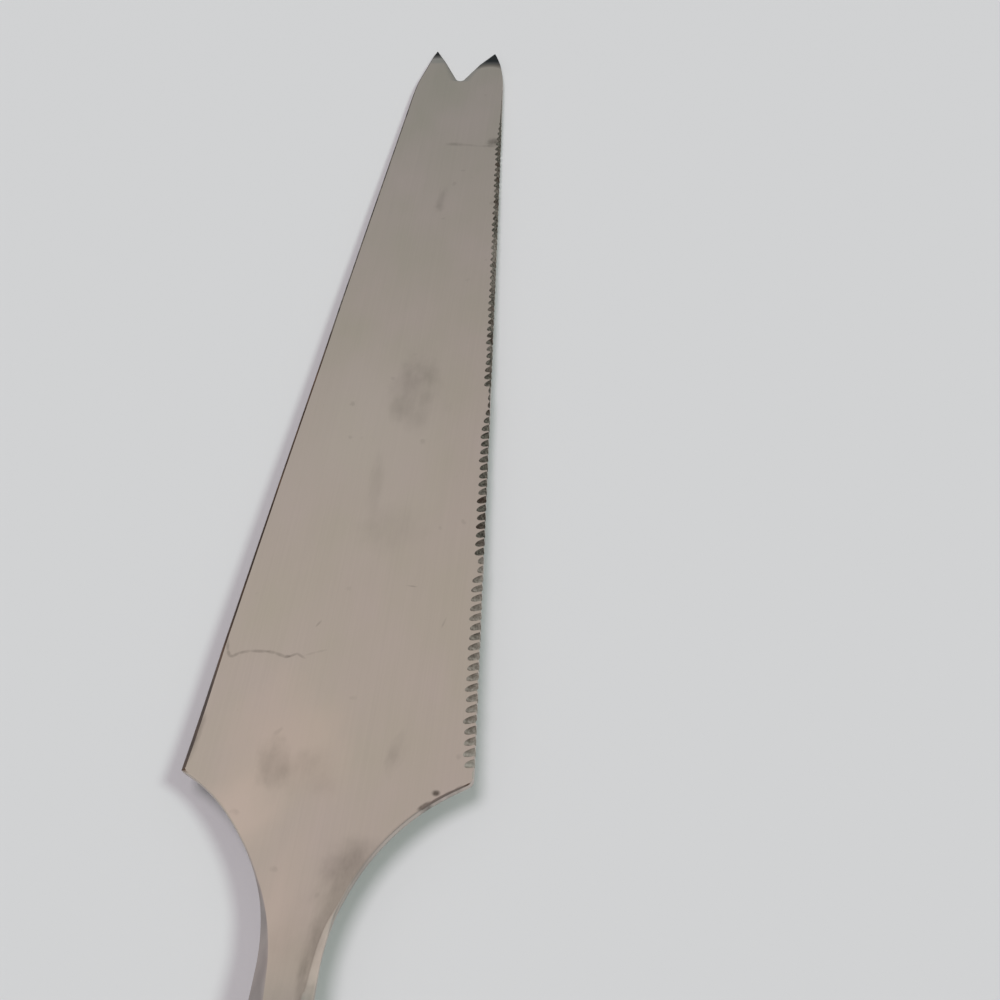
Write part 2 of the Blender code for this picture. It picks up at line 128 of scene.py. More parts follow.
WORN_TIP_TEETH = (0.9, 0.8, 0.68, 0.55, 0.42)  # and on the last
WORN_PLACES = [  # from, to, share left
    (78.4, 84.4, 0.28),
    (76.4, 78.4, 0.5),
    (74.5, 76.4, 0.7),
    (39.0, 43.0, 0.55),
]
EDGE_BEVEL_AT = (80, 88, 98, 112, 160, 172, 184)
EDGE_BEVEL = (0.07, 0.32, 0.35, 0.7, 0.6, 0.3, 0.07)  # tooth points ground back towards the tip

# Heel, neck and tang
HEEL_DEPTH = 30.0
HEEL_SWEEP = math.radians(65)
HEEL_FULLNESS = {RIGHT: 0.0, LEFT: 0.55}  # the left arc was ground less deep, most of all at this place
HEEL_FULLNESS_Y = -9.0
HEEL_FULLNESS_SPREAD = 7.0
SHOULDER_Y = -41.0
NECK_HALF = (4.7, 3.5)
NECK_SWELL_LENGTH = 13.5
NECK_FACET = {RIGHT: 1.8, LEFT: 3.2}  # width at the shoulder
NECK_FACET_LENGTH = {RIGHT: 22.0, LEFT: 26.5}
NECK_FACET_GROWTH = {RIGHT: 0.5, LEFT: 1.0}  # power with which it widens along that length
NECK_FACET_MOST = 0.6  # of the half-width
NECK_FACET_SLOPE = 0.8
NECK_FACET_DEEPEST = 0.7  # of the half-thickness
TANG_HALF = (3.2, 2.2)
TANG_BREAK = 0.8
TANG_END_Y = -157.6
THREAD_END_Y = -163.4
THREAD_OVERLAP = 1.0
THREAD_RADIUS = 2.0
THREAD_HEIGHT = 0.3
THREAD_PITCH = 0.7

# Handle
SEAM = 0.06  # hairline left between two pieces that meet
NOSE_HALF = np.array([5.9, 4.7])
COLLAR_HALF = np.array([9.5, 8.2])
BELLY_HALF = np.array([12.5, 10.1])
BUTT_HALF = np.array([11.0, 9.1])
SOCKET_HALF = np.array([7.6, 6.3])
SPIGOT_HALF = np.array([7.3, 6.0])
SPIGOT_GAP = 0.3
BORE_HALF = np.array([5.8, 4.5])
COLLAR_BORE_HALF = np.array([4.2, 2.9])
NOSE_ROUNDING = 0.3
RIM_ROUNDING = 0.12
SPACER_ROUNDING = 0.1
GRIP_ROUNDING = 0.25
COLLAR_FLOOR_Y = -47.3
COLLAR_REAR_Y = -55.45
COLLAR_GROOVE_Y = -53.25
COLLAR_GROOVE_HALF_WIDTH = 0.45
COLLAR_GROOVE_DEPTH = 0.4
FRONT_SPACER_REAR_Y = -56.95
BELLY_Y = -113.1
GRIP_REAR_Y = -150.2
REAR_SPACER_REAR_Y = -151.7
CAP_FLOOR_Y = -157.9
CAP_SEAT_Y = -160.4
CAP_REAR_Y = -165.2
CAP_ROUNDING = 3.0
RECESS_RADIUS = 5.0
RECESS_LIP = 0.2
THREAD_HOLE_RADIUS = 2.3
NUT_FRONT_Y = -161.8
NUT_REAR_Y = -164.8
NUT_RADIUS = 4.3
NUT_CHAMFER = 0.4
NUT_HOLE_LESS = 0.1  # the nut's hole is closer to the thread than the cap's
SLOT_WIDTH = 1.3
SLOT_DEPTH = 1.1

# The knife's frame in the world, from the mount on the blade's upper side
MM = 0.001
MOUNT_Y = 60.0
MOUNT = next(m for m in frame["record"]["mounts"] if m["name"] == "blade_upper_side")
UP = np.array(MOUNT["axis"])
ALONG = np.array([0, UP[2], -UP[1]])
AXES = np.array([[1, 0, 0], ALONG, UP])
HEEL = np.array(MOUNT["pos_m"]) - MM * (MOUNT_Y * ALONG + THICKNESS / 2 * UP)
TILT = math.atan2(UP[1], UP[2])

# Camera, in the knife's frame
CAMERA_PLACE = np.array([52.44, -76.74, 176.20])
CAMERA_TARGET = np.array([23.05, 55.86, 0.75])
CAMERA_ROLL = math.radians(-8.856)
CAMERA_LENS = 43.18

# Surroundings
SKY_FILL = 0.4  # share of their seen brightness that lights the object
SKY_RISE = (0.33, 0.92)  # sines of the heights between which they turn paler
SKY_SIDE = 0.4  # gain to the left
SKY_CROWN = 0.75  # what is left of them overhead
SKY_CROWN_RISE = (0.9, 0.96)
WINDOW_DIRECTION = (0.855, 0.21, 0.472)
WINDOW_RIM = (0.78, 0.97)  # cosines of the angles from that direction where it starts and is full
WINDOW_GAIN = 1.3

# Lamps: name, compass direction and height in degrees, strength, spread in degrees, colour. A height past
# 90 leans over to the other side.
LAMPS = [
    ("right_light", 97, 49, 1.40, 13, "#eefff6"),
    ("overhead_light", 90, 94, 1.44, 26, "#fff8ff"),
]


def world(points):
    """Points of the knife's frame, in millimetres, as world points in metres."""
    return HEEL + MM * (points @ AXES)


def linear(code):
    """An sRGB hex colour as linear red, green, blue and alpha."""
    share = np.array([int(code[i:i + 2], 16) for i in (1, 3, 5)]) / 255
    light = np.where(share <= 0.04045, share / 12.92, ((share + 0.055) / 1.055) ** 2.4)
    return (*light.tolist(), 1.0)


def node(tree, kind, inputs=(), out=0, **settings):
    """Add a shader node with its settings, fill or link its inputs, and give one of its outputs."""
    made = tree.nodes.new("ShaderNode" + kind)
    for key, value in settings.items():
        setattr(made, key, value)
    for key, value in dict(inputs).items():
        if isinstance(value, bpy.types.NodeSocket):
            tree.links.new(value, made.inputs[key])
        else:
            made.inputs[key].default_value = value
    return made.outputs[out]


def ramp(tree, value, span, low=0.0, high=1.0, **settings):
    """Share that goes from low to high as the value goes through a span, and stays so beyond it."""
    return node(tree, "MapRange", {0: value, 1: span[0], 2: span[1], 3: low, 4: high}, **settings)


def times(tree, first, second):
    """Product of two values."""
    return node(tree, "Math", {0: first, 1: second}, operation="MULTIPLY")


def blend(tree, share, first, second, kind="MIX"):
    """Colour between two by a share, or their product."""
    return node(tree, "Mix", {0: share, 6: first, 7: second}, out=2, data_type="RGBA", blend_type=kind)


def new_material(name, metallic, roughness):
    """A Principled material, its node tree, its shader and the knife's own millimetres as a vector."""
    made = bpy.data.materials.new(name)
    made.use_nodes = True
    tree = made.node_tree
    shader = tree.nodes["Principled BSDF"]
    shader.inputs["Metallic"].default_value = metallic
    shader.inputs["Roughness"].default_value = roughness
    place = node(tree, "TexCoord", out=3)
    settings = {"Vector": place, "Location": HEEL, "Rotation": (-TILT, 0, 0), "Scale": (MM, MM, MM)}
    return made, tree, shader, node(tree, "Mapping", settings, vector_type="TEXTURE")


def spot(tree, place, centre, half, turn, soft, ragged=0.0):
    """Mask of an ellipse on the blade's side: 1 inside, fading to 0 over its soft, perhaps ragged rim."""
    settings = {
        "Vector": place,
        "Location": (*centre, 0),
        "Rotation": (0, 0, math.radians(turn)),
        "Scale": (*half, 1000),
    }
    local = node(tree, "Mapping", settings, vector_type="TEXTURE")
    reach = node(tree, "VectorMath", {0: local}, out=1, operation="LENGTH")
    if ragged:
        own = {0: local, 1: (1.4, 1.4, 1.4), 2: (*centre, 0)}
        own = node(tree, "VectorMath", own, operation="MULTIPLY_ADD")
        rim = node(tree, "TexNoise", {"Vector": own, "Scale": 1.0, "Detail": 4.0})
        reach = node(tree, "Math", {0: rim, 1: ragged, 2: reach}, operation="MULTIPLY_ADD")
    outer = 1 + ragged / 2
    return ramp(tree, reach, (outer, outer - soft), interpolation_type="SMOOTHSTEP")


def grained(tree, place, size, detail=2.0):
    """Noise whose grains have these sizes in millimetres, across, along and through."""
    scaled = node(tree, "Mapping", {"Vector": place, "Scale": tuple(1 / s for s in size)})
    return node(tree, "TexNoise", {"Vector": scaled, "Scale": 1.0, "Detail": detail})


def tint(tree, share, low, high, first="#000000", second="#ffffff"):
    """Colour that goes from the first to the second as the share goes from low to high."""
    return blend(tree, ramp(tree, share, (low, high)), linear(first), linear(second))


# Broad patches where the polish has another tone: centre and half-sizes in millimetres, share, colour
BLADE_PATCHES = [
    ((-7.0, 6.0), (15.0, 17.0), 0.5, "#d8c6b9"),
    ((-3.0, -21.0), (6.5, 16.0), 0.5, "#d8c6bd"),
    ((-5.0, 72.0), (24.0, 34.0), 0.4, "#d0c7bd"),
    ((-12.8, -7.5), (9.0, 12.5), 0.6, "#ddcbc0"),
]

# Stains on its upper side: centre and half-sizes in millimetres, turn in degrees, soft share, strength
BLADE_STAINS = [
    ((3.5, 83.0), (7.0, 12.5), 8, 0.7, 0.17),
    ((3.8, 88.0), (5.6, 4.6), -6, 0.8, 0.08),
    ((0.4, 78.0), (2.2, 5.5), 8, 0.8, 0.08),
    ((-1.0, 59.0), (2.0, 11.0), 4, 0.8, 0.10),
    ((3.4, 48.8), (8.0, 7.5), 20, 0.9, 0.10),
    ((1.1, 142.6), (1.4, 6.0), -3, 0.9, 0.18),
    ((1.1, 139.6), (1.7, 2.0), 0, 0.9, 0.14),
    ((-8.6, 1.6), (3.6, 6.0), 12, 0.7, 0.22),
    ((-2.2, 0.3), (5.8, 6.2), 12, 0.9, 0.13),
    ((11.0, 4.3), (1.9, 4.8), -11, 0.9, 0.20),
    ((6.8, -14.3), (6.0, 6.0), 0, 0.9, 0.24),
    ((5.9, -17.5), (3.8, 9.5), -25, 0.9, 0.22),
    ((4.0, -25.0), (2.3, 9.5), -13, 0.9, 0.30),
    ((0.5, -29.0), (7.0, 12.0), 0, 0.9, 0.09),
    ((2.9, -32.0), (1.3, 5.0), 0, 0.9, 0.30),
    ((4.3, -33.8), (1.9, 4.6), 0, 1.0, 0.38),
    ((11.5, 163.4), (2.4, 2.5), 0, 1.0, 0.6),
    ((-23.0, 5.8), (1.3, 6.2), -4, 1.0, 0.6),
    ((-9.0, 79.3), (0.8, 0.9), 0, 0.8, 0.28),
]

# Scratches and dark rims there: points in millimetres, half-width, strength
BLADE_LINES = [
    ([(-22.1, 25.2), (-21.2, 22.0), (-20.7, 21.1), (-20.1, 21.0), (-19.2, 21.7), (-17.2, 22.2),
      (-14.1, 22.2)], 0.42, 0.27),
    ([(-14.1, 22.2), (-12.7, 22.0), (-10.9, 21.3), (-10.1, 21.4)], 0.42, 0.36),
    ([(-10.1, 21.4), (-8.8, 22.0), (-7.4, 21.2)], 0.34, 0.25),
    ([(-7.2, 21.8), (-5.6, 22.4), (-3.9, 22.9)], 0.3, 0.12),
    ([(8.4, 36.5), (10.0, 36.3)], 0.22, 0.25),
    ([(-6.5, 27.6), (-5.9, 28.6)], 0.28, 0.28),
    ([(15.6, 28.2), (16.1, 30.0)], 0.25, 0.18),
    ([(0.4, 163.0), (3.6, 162.7), (8.0, 162.0), (11.0, 161.9)], 0.55, 0.14),
    ([(0.4, 163.0), (3.6, 162.7)], 1.1, 0.14),
    ([(17.7, -3.6), (19.7, -2.2), (21.4, -1.25), (22.5, -0.5)], 0.3, 0.38),
    ([(16.3, -4.6), (17.6, -3.7)], 0.6, 0.75),
    ([(18.3, -1.95), (18.6, -1.95)], 0.7, 0.9),
]

LINE_OVERLAP = 0.66  # half-length of a line's ellipses, as a share of the distance between its points
PATCH_RAGGEDNESS = 1.0
STAIN_RAGGEDNESS = 1.1
SPECK_STRENGTH = 0.10

# Black points of the tines: a place on each tine, the distances from it where the black starts and is full,
# how far along the blade it may start, and the side of the middle that it keeps to
BLACK_POINTS = [
    ((7.0, 190.0, 0.75), 4.6, 7.6, 193.0, "GREATER_THAN"),
    ((-7.2, 194.0, 0.75), 5.6, 7.8, 197.0, "LESS_THAN"),
]
BLACK_POINT_FADE = 2.0

# Changes of tone along the edges: places in millimetres where each starts and is full
GULLETS_DARKEN = (34.0, 48.0)
GULLETS_RUBBED = ((13.0, 122.0), (8.0, 10.5))  # centre and half-sizes
GULLETS_CLEAN = (7.5, 1.5)
SPINE_PALES = (88.0, 104.0)
HEEL_BROWNS = (-0.1, -0.7)
HEEL_BARE = (-18.0, -10.0)
RIGHT_CORNER_SHADE_AND_RUST = (12.0, 15.0)  # across the blade, where the right heel corner's painted shade with some rust starts and is full


def clean_share(tree, place):
    """Share of clean steel on the blade's side: the product of what each stain, line and speck leaves."""
    mottle = grained(tree, place, (2.6, 5.0, 3.0), 5.0)
    mottle = ramp(tree, mottle, (0.34, 0.62), 0.45, 1.0)
    gaps = grained(tree, place, (1.6, 1.6, 1.6), 2.0)
    gaps = ramp(tree, gaps, (0.38, 0.6), 0.6, 1.0)
    clear = 1.0
    for centre, half, turn, soft, strength in BLADE_STAINS:
        mask = spot(tree, place, centre, half, turn, soft, STAIN_RAGGEDNESS)
        mask = times(tree, mask, mottle)
        left = node(tree, "Math", {0: mask, 1: -strength, 2: 1.0}, operation="MULTIPLY_ADD")
        clear = times(tree, left, clear)
    for points, width, strength in BLADE_LINES:
        line = 0.0
        for (x0, y0), (x1, y1) in zip(points, points[1:]):
            turn = math.degrees(math.atan2(y1 - y0, x1 - x0))
            half = (math.hypot(x1 - x0, y1 - y0) * LINE_OVERLAP + width, width)
            mask = spot(tree, place, ((x0 + x1) / 2, (y0 + y1) / 2), half, turn, 0.7)
            line = node(tree, "Math", {0: mask, 1: line}, operation="MAXIMUM")
        line = times(tree, line, gaps)
        left = node(tree, "Math", {0: line, 1: -strength, 2: 1.0}, operation="MULTIPLY_ADD")
        clear = times(tree, left, clear)
    drift = node(tree, "TexNoise", {"Vector": place, "Scale": 0.13, "Detail": 3.0}, out=1)
    drift = node(tree, "VectorMath", {0: drift, 1: (0.5, 0.5, 0.5)}, operation="SUBTRACT")
    drift = node(tree, "VectorMath", {0: drift, "Scale": 5.5}, operation="SCALE")
    wandering = node(tree, "VectorMath", {0: place, 1: drift}, operation="ADD")
    specks = node(tree, "TexVoronoi", {"Vector": wandering, "Scale": 0.16, "Randomness": 1.0})
    specks = ramp(tree, specks, (0.05, 0.11), 1 - SPECK_STRENGTH, 1.0)
    return times(tree, clear, specks)


def blackened_points(tree, place, colour):
    """The colour, turning black on each tine with the distance from a place behind its point."""
    across = node(tree, "SeparateXYZ", {0: place}, out=0)
    along = node(tree, "SeparateXYZ", {0: place}, out=1)
    for centre, near, far, foot, side in BLACK_POINTS:
        black = node(tree, "VectorMath", {0: place, 1: centre}, out=1, operation="DISTANCE")
        black = ramp(tree, black, (near, far))
        above = ramp(tree, along, (foot, foot + BLACK_POINT_FADE))
        black = times(tree, black, above)
        here = node(tree, "Math", {0: across, 1: 0.0}, operation=side)
        black = times(tree, black, here)
        black = node(tree, "Math", {0: black, 1: 0.55}, operation="POWER")
        colour = blend(tree, black, colour, linear("#050505"))
    return colour


def satin_blade_steel():
    """Stainless steel ground along the blade: a soft warm sheen, faint clouds, fine lines and stains."""
    made, tree, shader, place = new_material("satin_ground_stainless_steel", 1.0, 0.32)
    clouds = grained(tree, place, (14, 22, 14), 4.0)
    lines = grained(tree, place, (0.3, 30, 3))
    colour = tint(tree, clouds, 0.3, 0.7, "#c4bbae", "#ccbfb7")
    streak = tint(tree, lines, 0.25, 0.75, "#fbfbfb", "#ffffff")
    colour = blend(tree, 1.0, colour, streak, "MULTIPLY")
    for centre, half, share, code in BLADE_PATCHES:
        patch = spot(tree, place, centre, half, 0, 1.0, PATCH_RAGGEDNESS)
        patch = times(tree, patch, share)
        colour = blend(tree, patch, colour, linear(code))
    clear = clean_share(tree, place)
    colour = blend(tree, clear, linear("#30281d"), colour)
    tree.links.new(blackened_points(tree, place, colour), shader.inputs["Base Color"])
    rough = ramp(tree, clouds, (0.3, 0.7), 0.30, 0.35)
    tree.links.new(rough, shader.inputs["Roughness"])
    relief = node(tree, "Bump", {"Strength": 0.03, "Distance": 0.00001, "Height": lines})
    tree.links.new(relief, shader.inputs["Normal"])
    return made


def ground_gullet_steel():
    """Gullets as the wheel left them: dull grey with pale flecks, with grime and rust towards the tip."""
    made, tree, shader, place = new_material("rough_ground_gullet_steel", 0.8, 0.5)
    along = node(tree, "SeparateXYZ", {0: place}, out=1)
    grime = grained(tree, place, (0.45, 0.45, 0.45), 3.0)
    pale = tint(tree, grime, 0.35, 0.7, "#8f857b", "#bcb1a5")
    dark = tint(tree, grime, 0.38, 0.66, "#48443c", "#8a8478")
    rust = grained(tree, place, (60, 2.3, 60), 1.0)
    rust = ramp(tree, rust, (0.5, 0.66), 0.0, 0.6)
    dark = blend(tree, rust, dark, linear("#4a362b"))
    share = ramp(tree, along, GULLETS_DARKEN)
    rubbed = spot(tree, place, *GULLETS_RUBBED, 0, 0.6)
    share = node(tree, "Math", {0: rubbed, 1: -0.45, 2: share}, operation="MULTIPLY_ADD")
    stretch = grained(tree, place, (60, 3.5, 60), 3.0)
    stretch = ramp(tree, stretch, (0.3, 0.7), -0.5, 0.5)
    share = node(tree, "Math", {0: share, 1: stretch}, operation="ADD", use_clamp=True)
    colour = blend(tree, share, pale, dark)
    worn = ramp(tree, along, GULLETS_CLEAN, 0.0, 0.8)
    colour = blend(tree, worn, colour, linear("#c6beb2"))
    tree.links.new(colour, shader.inputs["Base Color"])
    return made


def painted_shade_edge_steel():
    """Broken edges in painted light and shade: a dark brown painted reflection along the spine, paler
    towards the tip, painted shade on the neck's left facet, near-bare steel round the heel arc, and painted
    shade with some rust at the right heel corner.
    """
    made, tree, shader, place = new_material("painted_shade_edge_steel", 0.85, 0.45)
    across = node(tree, "SeparateXYZ", {0: place}, out=0)
    along = node(tree, "SeparateXYZ", {0: place}, out=1)
    fade = grained(tree, place, (2, 6, 2), 3.0)
    # dark brown painted reflection along the spine's broken edge, and a paler one towards the tip
    dark = tint(tree, fade, 0.35, 0.7, "#3f291d", "#70533f")
    rubbed = grained(tree, place, (1.5, 2.6, 1.5), 4.0)
    pale = tint(tree, rubbed, 0.4, 0.64, "#403832", "#887d73")
    share = ramp(tree, along, SPINE_PALES)
    colour = blend(tree, share, dark, pale)
    # painted shade on the neck's left facet
    brown = tint(tree, fade, 0.35, 0.7, "#aa9e9b", "#baaeaa")
    bare = ramp(tree, along, HEEL_BARE)
    brown = blend(tree, bare, brown, linear("#cdbfb3"))
    # painted shade, with some rust, on the right heel corner's rim
    right = ramp(tree, across, RIGHT_CORNER_SHADE_AND_RUST)
    brown = blend(tree, right, brown, linear("#8c7f78"))
    heel = ramp(tree, along, HEEL_BROWNS)
    colour = blend(tree, heel, colour, brown)
    tree.links.new(colour, shader.inputs["Base Color"])
    return made


def polished_collar_steel():
    """Stainless steel buffed round and round: bright, with hairlines that run round the piece."""
    made, tree, shader, place = new_material("buffed_stainless_steel", 1.0, 0.2)
    rings = grained(tree, place, (40, 0.12, 40))
    tree.links.new(tint(tree, rings, 0.3, 0.7, "#c4bfb9", "#d0ccc6"), shader.inputs["Base Color"])
    haze = grained(tree, place, (6, 6, 6), 3.0)
    rough = ramp(tree, haze, (0.3, 0.7), 0.16, 0.26)
    tree.links.new(rough, shader.inputs["Roughness"])
    relief = node(tree, "Bump", {"Strength": 0.1, "Distance": 0.00001, "Height": rings})
    tree.links.new(relief, shader.inputs["Normal"])
    return made


def turned_nut_steel():
    """Steel as it left the lathe: fine rings round the thread that catch the light."""
    made, tree, shader, place = new_material("turned_mild_steel", 1.0, 0.3)
    flat = node(tree, "VectorMath", {0: place, 1: (1, 0, 1)}, operation="MULTIPLY")
    radius = node(tree, "VectorMath", {0: flat}, out=1, operation="LENGTH")
    rings = node(tree, "TexNoise", {"W": radius, "Scale": 9.0, "Detail": 2.0}, noise_dimensions="1D")
    tree.links.new(tint(tree, rings, 0.3, 0.7, "#a8a39c", "#bdb8b1"), shader.inputs["Base Color"])
    relief = node(tree, "Bump", {"Strength": 0.25, "Distance": 0.00002, "Height": rings})
    tree.links.new(relief, shader.inputs["Normal"])
    return made


def oiled_rosewood():
    """Rosewood turned and oiled: red-brown, with wandering dark bands, fine fibres and open pores."""
    made, tree, shader, place = new_material("oiled_rosewood", 0.0, 0.42)
    shader.inputs["Coat Weight"].default_value = 0.3
    shader.inputs["Coat Roughness"].default_value = 0.22
    sway = grained(tree, place, (9, 70, 9), 2.0)
    across = node(tree, "VectorMath", {0: place, 1: (0.62, 0.012, 0.78)}, out=1, operation="DOT_PRODUCT")
    depth = node(tree, "Math", {0: sway, 1: 11.0, 2: across}, operation="MULTIPLY_ADD")
    bands = node(tree, "TexNoise", {"W": depth, "Scale": 0.75, "Detail": 3.0}, noise_dimensions="1D")
    fibres = grained(tree, place, (0.35, 14, 0.35), 3.0)
    pores = grained(tree, place, (0.24, 4.0, 0.24), 1.0)
    colour = tint(tree, bands, 0.36, 0.62, "#2e140d", "#6d3821")
    light = tint(tree, fibres, 0.2, 0.8, "#b8b0a8", "#ffffff")
    colour = blend(tree, 1.0, colour, light, "MULTIPLY")
    open_pore = ramp(tree, pores, (0.62, 0.70))
    colour = blend(tree, open_pore, colour, linear("#1b0c08"))
    tree.links.new(colour, shader.inputs["Base Color"])
    rough = ramp(tree, fibres, (0.2, 0.8), 0.36, 0.5)
    tree.links.new(rough, shader.inputs["Roughness"])
    height = node(tree, "Math", {0: open_pore, 1: -0.8, 2: fibres}, operation="MULTIPLY_ADD")
    relief = node(tree, "Bump", {"Strength": 0.35, "Distance": 0.00006, "Height": height})
    tree.links.new(relief, shader.inputs["Normal"])
    return made


def vulcanised_fibre():
    """Black vulcanised fibre, cut from sheet: dull, with a faint paper fleck."""
    made, tree, shader, place = new_material("black_vulcanised_fibre", 0.0, 0.6)
    fleck = grained(tree, place, (0.4, 0.4, 0.4), 2.0)
    tree.links.new(tint(tree, fleck, 0.35, 0.7, "#171513", "#2a2724"), shader.inputs["Base Color"])
    return made


def bedding_resin():
    """Cast resin that fills the bore: brown, with small voids."""
    made, tree, shader, place = new_material("cast_bedding_resin", 0.0, 0.5)
    fill = grained(tree, place, (1.2, 1.2, 1.2), 2.0)
    tree.links.new(tint(tree, fill, 0.35, 0.7, "#4b3324", "#6a4a34"), shader.inputs["Base Color"])
    return made


def pressed_cotton():
    """Pale pressed cotton cloth: matt and even."""
    made, _, shader, _ = new_material("pressed_white_cotton", 0.0, 0.9)
    shader.inputs["Base Color"].default_value = linear("#d4d3d4")
    return made


def grid_faces(rows, columns, round_rows=False, round_columns=False):
    """Quads between the points of a grid, which may run round in either direction."""
    r = np.arange(rows if round_rows else rows - 1)[:, None]
    c = np.arange(columns if round_columns else columns - 1)[None, :]
    far_r, far_c = (r + 1) % rows, (c + 1) % columns
    corners = (r * columns + c, r * columns + far_c, far_r * columns + far_c, far_r * columns + c)
    return np.stack(np.broadcast_arrays(*corners), axis=-1)


def new_piece(name, points, faces, finishes, replaced=(), finish_index=None, sharp=SHARP_ANGLE):
    """A closed piece from points in the knife's frame: seams welded, faces outward, riding on the knife."""
    mesh = bpy.data.meshes.new(name)
    mesh.from_pydata(world(points).tolist(), [], faces)
    if finish_index is not None:
        mesh.polygons.foreach_set("material_index", finish_index)
    solid = bmesh.new()
    solid.from_mesh(mesh)
    bmesh.ops.remove_doubles(solid, verts=solid.verts, dist=1e-6)
    bmesh.ops.dissolve_degenerate(solid, edges=solid.edges, dist=1e-7)
    bmesh.ops.recalc_face_normals(solid, faces=solid.faces)
    solid.to_mesh(mesh)
    solid.free()
    mesh.shade_smooth()
    mesh.set_sharp_from_angle(angle=math.radians(sharp))
    for finish in finishes:
        mesh.materials.append(finish)
    made = bpy.data.objects.new(name, mesh)
    bpy.context.scene.collection.objects.link(made)
    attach(made, "root")
    if replaced:
        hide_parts(*replaced)
    return made


def tine_share(y):
    """How far into the tines a place lies: 0 where the sides start to curve in, 1 at the points."""
    return np.clip(1 - (BLADE_LENGTH - y) / TINE_CURVE_LENGTH, 0, None)


def plate_half(y):
    """Half the plate's width: a straight taper, a slight belly and sides that curve in at the tip."""
    along = y / BLADE_LENGTH
    taper = (HEEL_WIDTH + (TIP_WIDTH - HEEL_WIDTH) * along) / 2
    return taper + 4 * SIDE_BOW * along * (1 - along) - TINE_CURVE_DROP * tine_share(y) ** 2


def heel_half(y):
    """Half-width behind the heel: an arc tangent to the neck, carried on straight past the corner."""
    turn = np.arcsin(np.clip(1 + y / HEEL_DEPTH, 0, 1) * math.sin(HEEL_SWEEP))
    spread = (1 - np.cos(turn)) / (1 - math.cos(HEEL_SWEEP))
    steep = math.tan(HEEL_SWEEP) * np.maximum(y, 0)
    return NECK_HALF[0] + (HEEL_WIDTH / 2 - NECK_HALF[0]) * spread + steep


def half_width(y, side):
    """Half-width of the forging: the softened lesser of plate and heel arc, then the tang's.

    A bell-shaped amount makes the left heel arc fuller, and another makes the left tine's shoulder flatter.
    """
    soft = CORNER_SOFTNESS[side]
    fuller = HEEL_FULLNESS[side] * np.exp(-((y - HEEL_FULLNESS_Y) / HEEL_FULLNESS_SPREAD) ** 2)
    heel = heel_half(y) + fuller
    corner = -soft * np.logaddexp(-plate_half(y) / soft, -heel / soft)
    wear = LEFT_TINE_WEAR * np.exp(-((y - LEFT_TINE_WEAR_Y) / LEFT_TINE_WEAR_SPREAD) ** 2)
    wear = wear * np.clip((BLADE_LENGTH - y) / LEFT_TINE_WEAR_FADE, 0, 1)
    return np.where(y < SHOULDER_Y, TANG_HALF[0], corner) - wear * (side == LEFT)


def half_thickness(y):
    """Half-thickness of the forging: a flat plate that swells into the neck, then the tang."""
    swell = np.clip(1 + (SHOULDER_Y - y) / NECK_SWELL_LENGTH, 0, 1)
    neck = THICKNESS / 2 + (NECK_HALF[1] - THICKNESS / 2) * swell**2
    return np.where(y < SHOULDER_Y, TANG_HALF[1], neck)


def grind(y):
    """How far the upper side is ground down towards the tine points."""
    return TINE_GRIND_DROP * np.clip(1 - (BLADE_LENGTH - y) / TINE_GRIND_LENGTH, 0, 1)


def lead_slope():
    """Slope across the blade that puts one tine's point ahead of the other's."""
    return TINE_LEAD / (2 * plate_half(BLADE_LENGTH))


def outline_stretch(y, half):
    """How much wider a cut square to the outline is when measured across the blade, from the slope."""
    slope = np.gradient(half, y + 1e-9 * np.arange(len(y)))
    slope = np.where((y > -HEEL_DEPTH) & (y < BLADE_LENGTH - 1), slope, 0)
    return np.sqrt(1 + np.clip(slope, -STEEPEST_OUTLINE, STEEPEST_OUTLINE) ** 2)


def corner_cut(y, small, side):
    """Run and drop of a corner's cut: a small break, widening into the neck's facet, then the tang's."""
    spread = np.clip(1 + (SHOULDER_Y - y) / NECK_FACET_LENGTH[side], 0, 1)
    run = np.maximum(small, NECK_FACET[side] * spread ** NECK_FACET_GROWTH[side])
    facet_drop = np.minimum(NECK_FACET_SLOPE * run, NECK_FACET_DEEPEST * half_thickness(y))
    drop = np.where(run > small, facet_drop, small)
    tang = y < SHOULDER_Y
    return np.where(tang, TANG_BREAK, run), np.where(tang, TANG_BREAK, drop)


def upper_break(y, width, stretch, side):
    """Run and drop of the upper corner's cut, and how round it is: 1 a quarter round, 0 a flat facet.

    On the plate it is the worn spine on the left and the bevelled edge on the right, and behind the heel
    corner an even break.
    """
    if side == RIGHT:
        plate = np.interp(y, EDGE_BEVEL_AT, EDGE_BEVEL)
    else:
        plate = np.interp(y, SPINE_BREAK_AT, SPINE_BREAK)
    ahead = np.clip((y + HEEL_BREAK_END) / (2 * HEEL_BREAK_END), 0, 1)
    run, drop = corner_cut(y, ahead * plate + (1 - ahead) * HEEL_BREAK, side)
    most = np.where(y < -HEEL_DEPTH / 2, NECK_FACET_MOST, LARGEST_SHARE)
    run = np.minimum(run * stretch, most * width)
    return run, drop, np.clip((FLAT_BREAK - run / stretch) / (FLAT_BREAK - ROUND_BREAK), 0, 1)


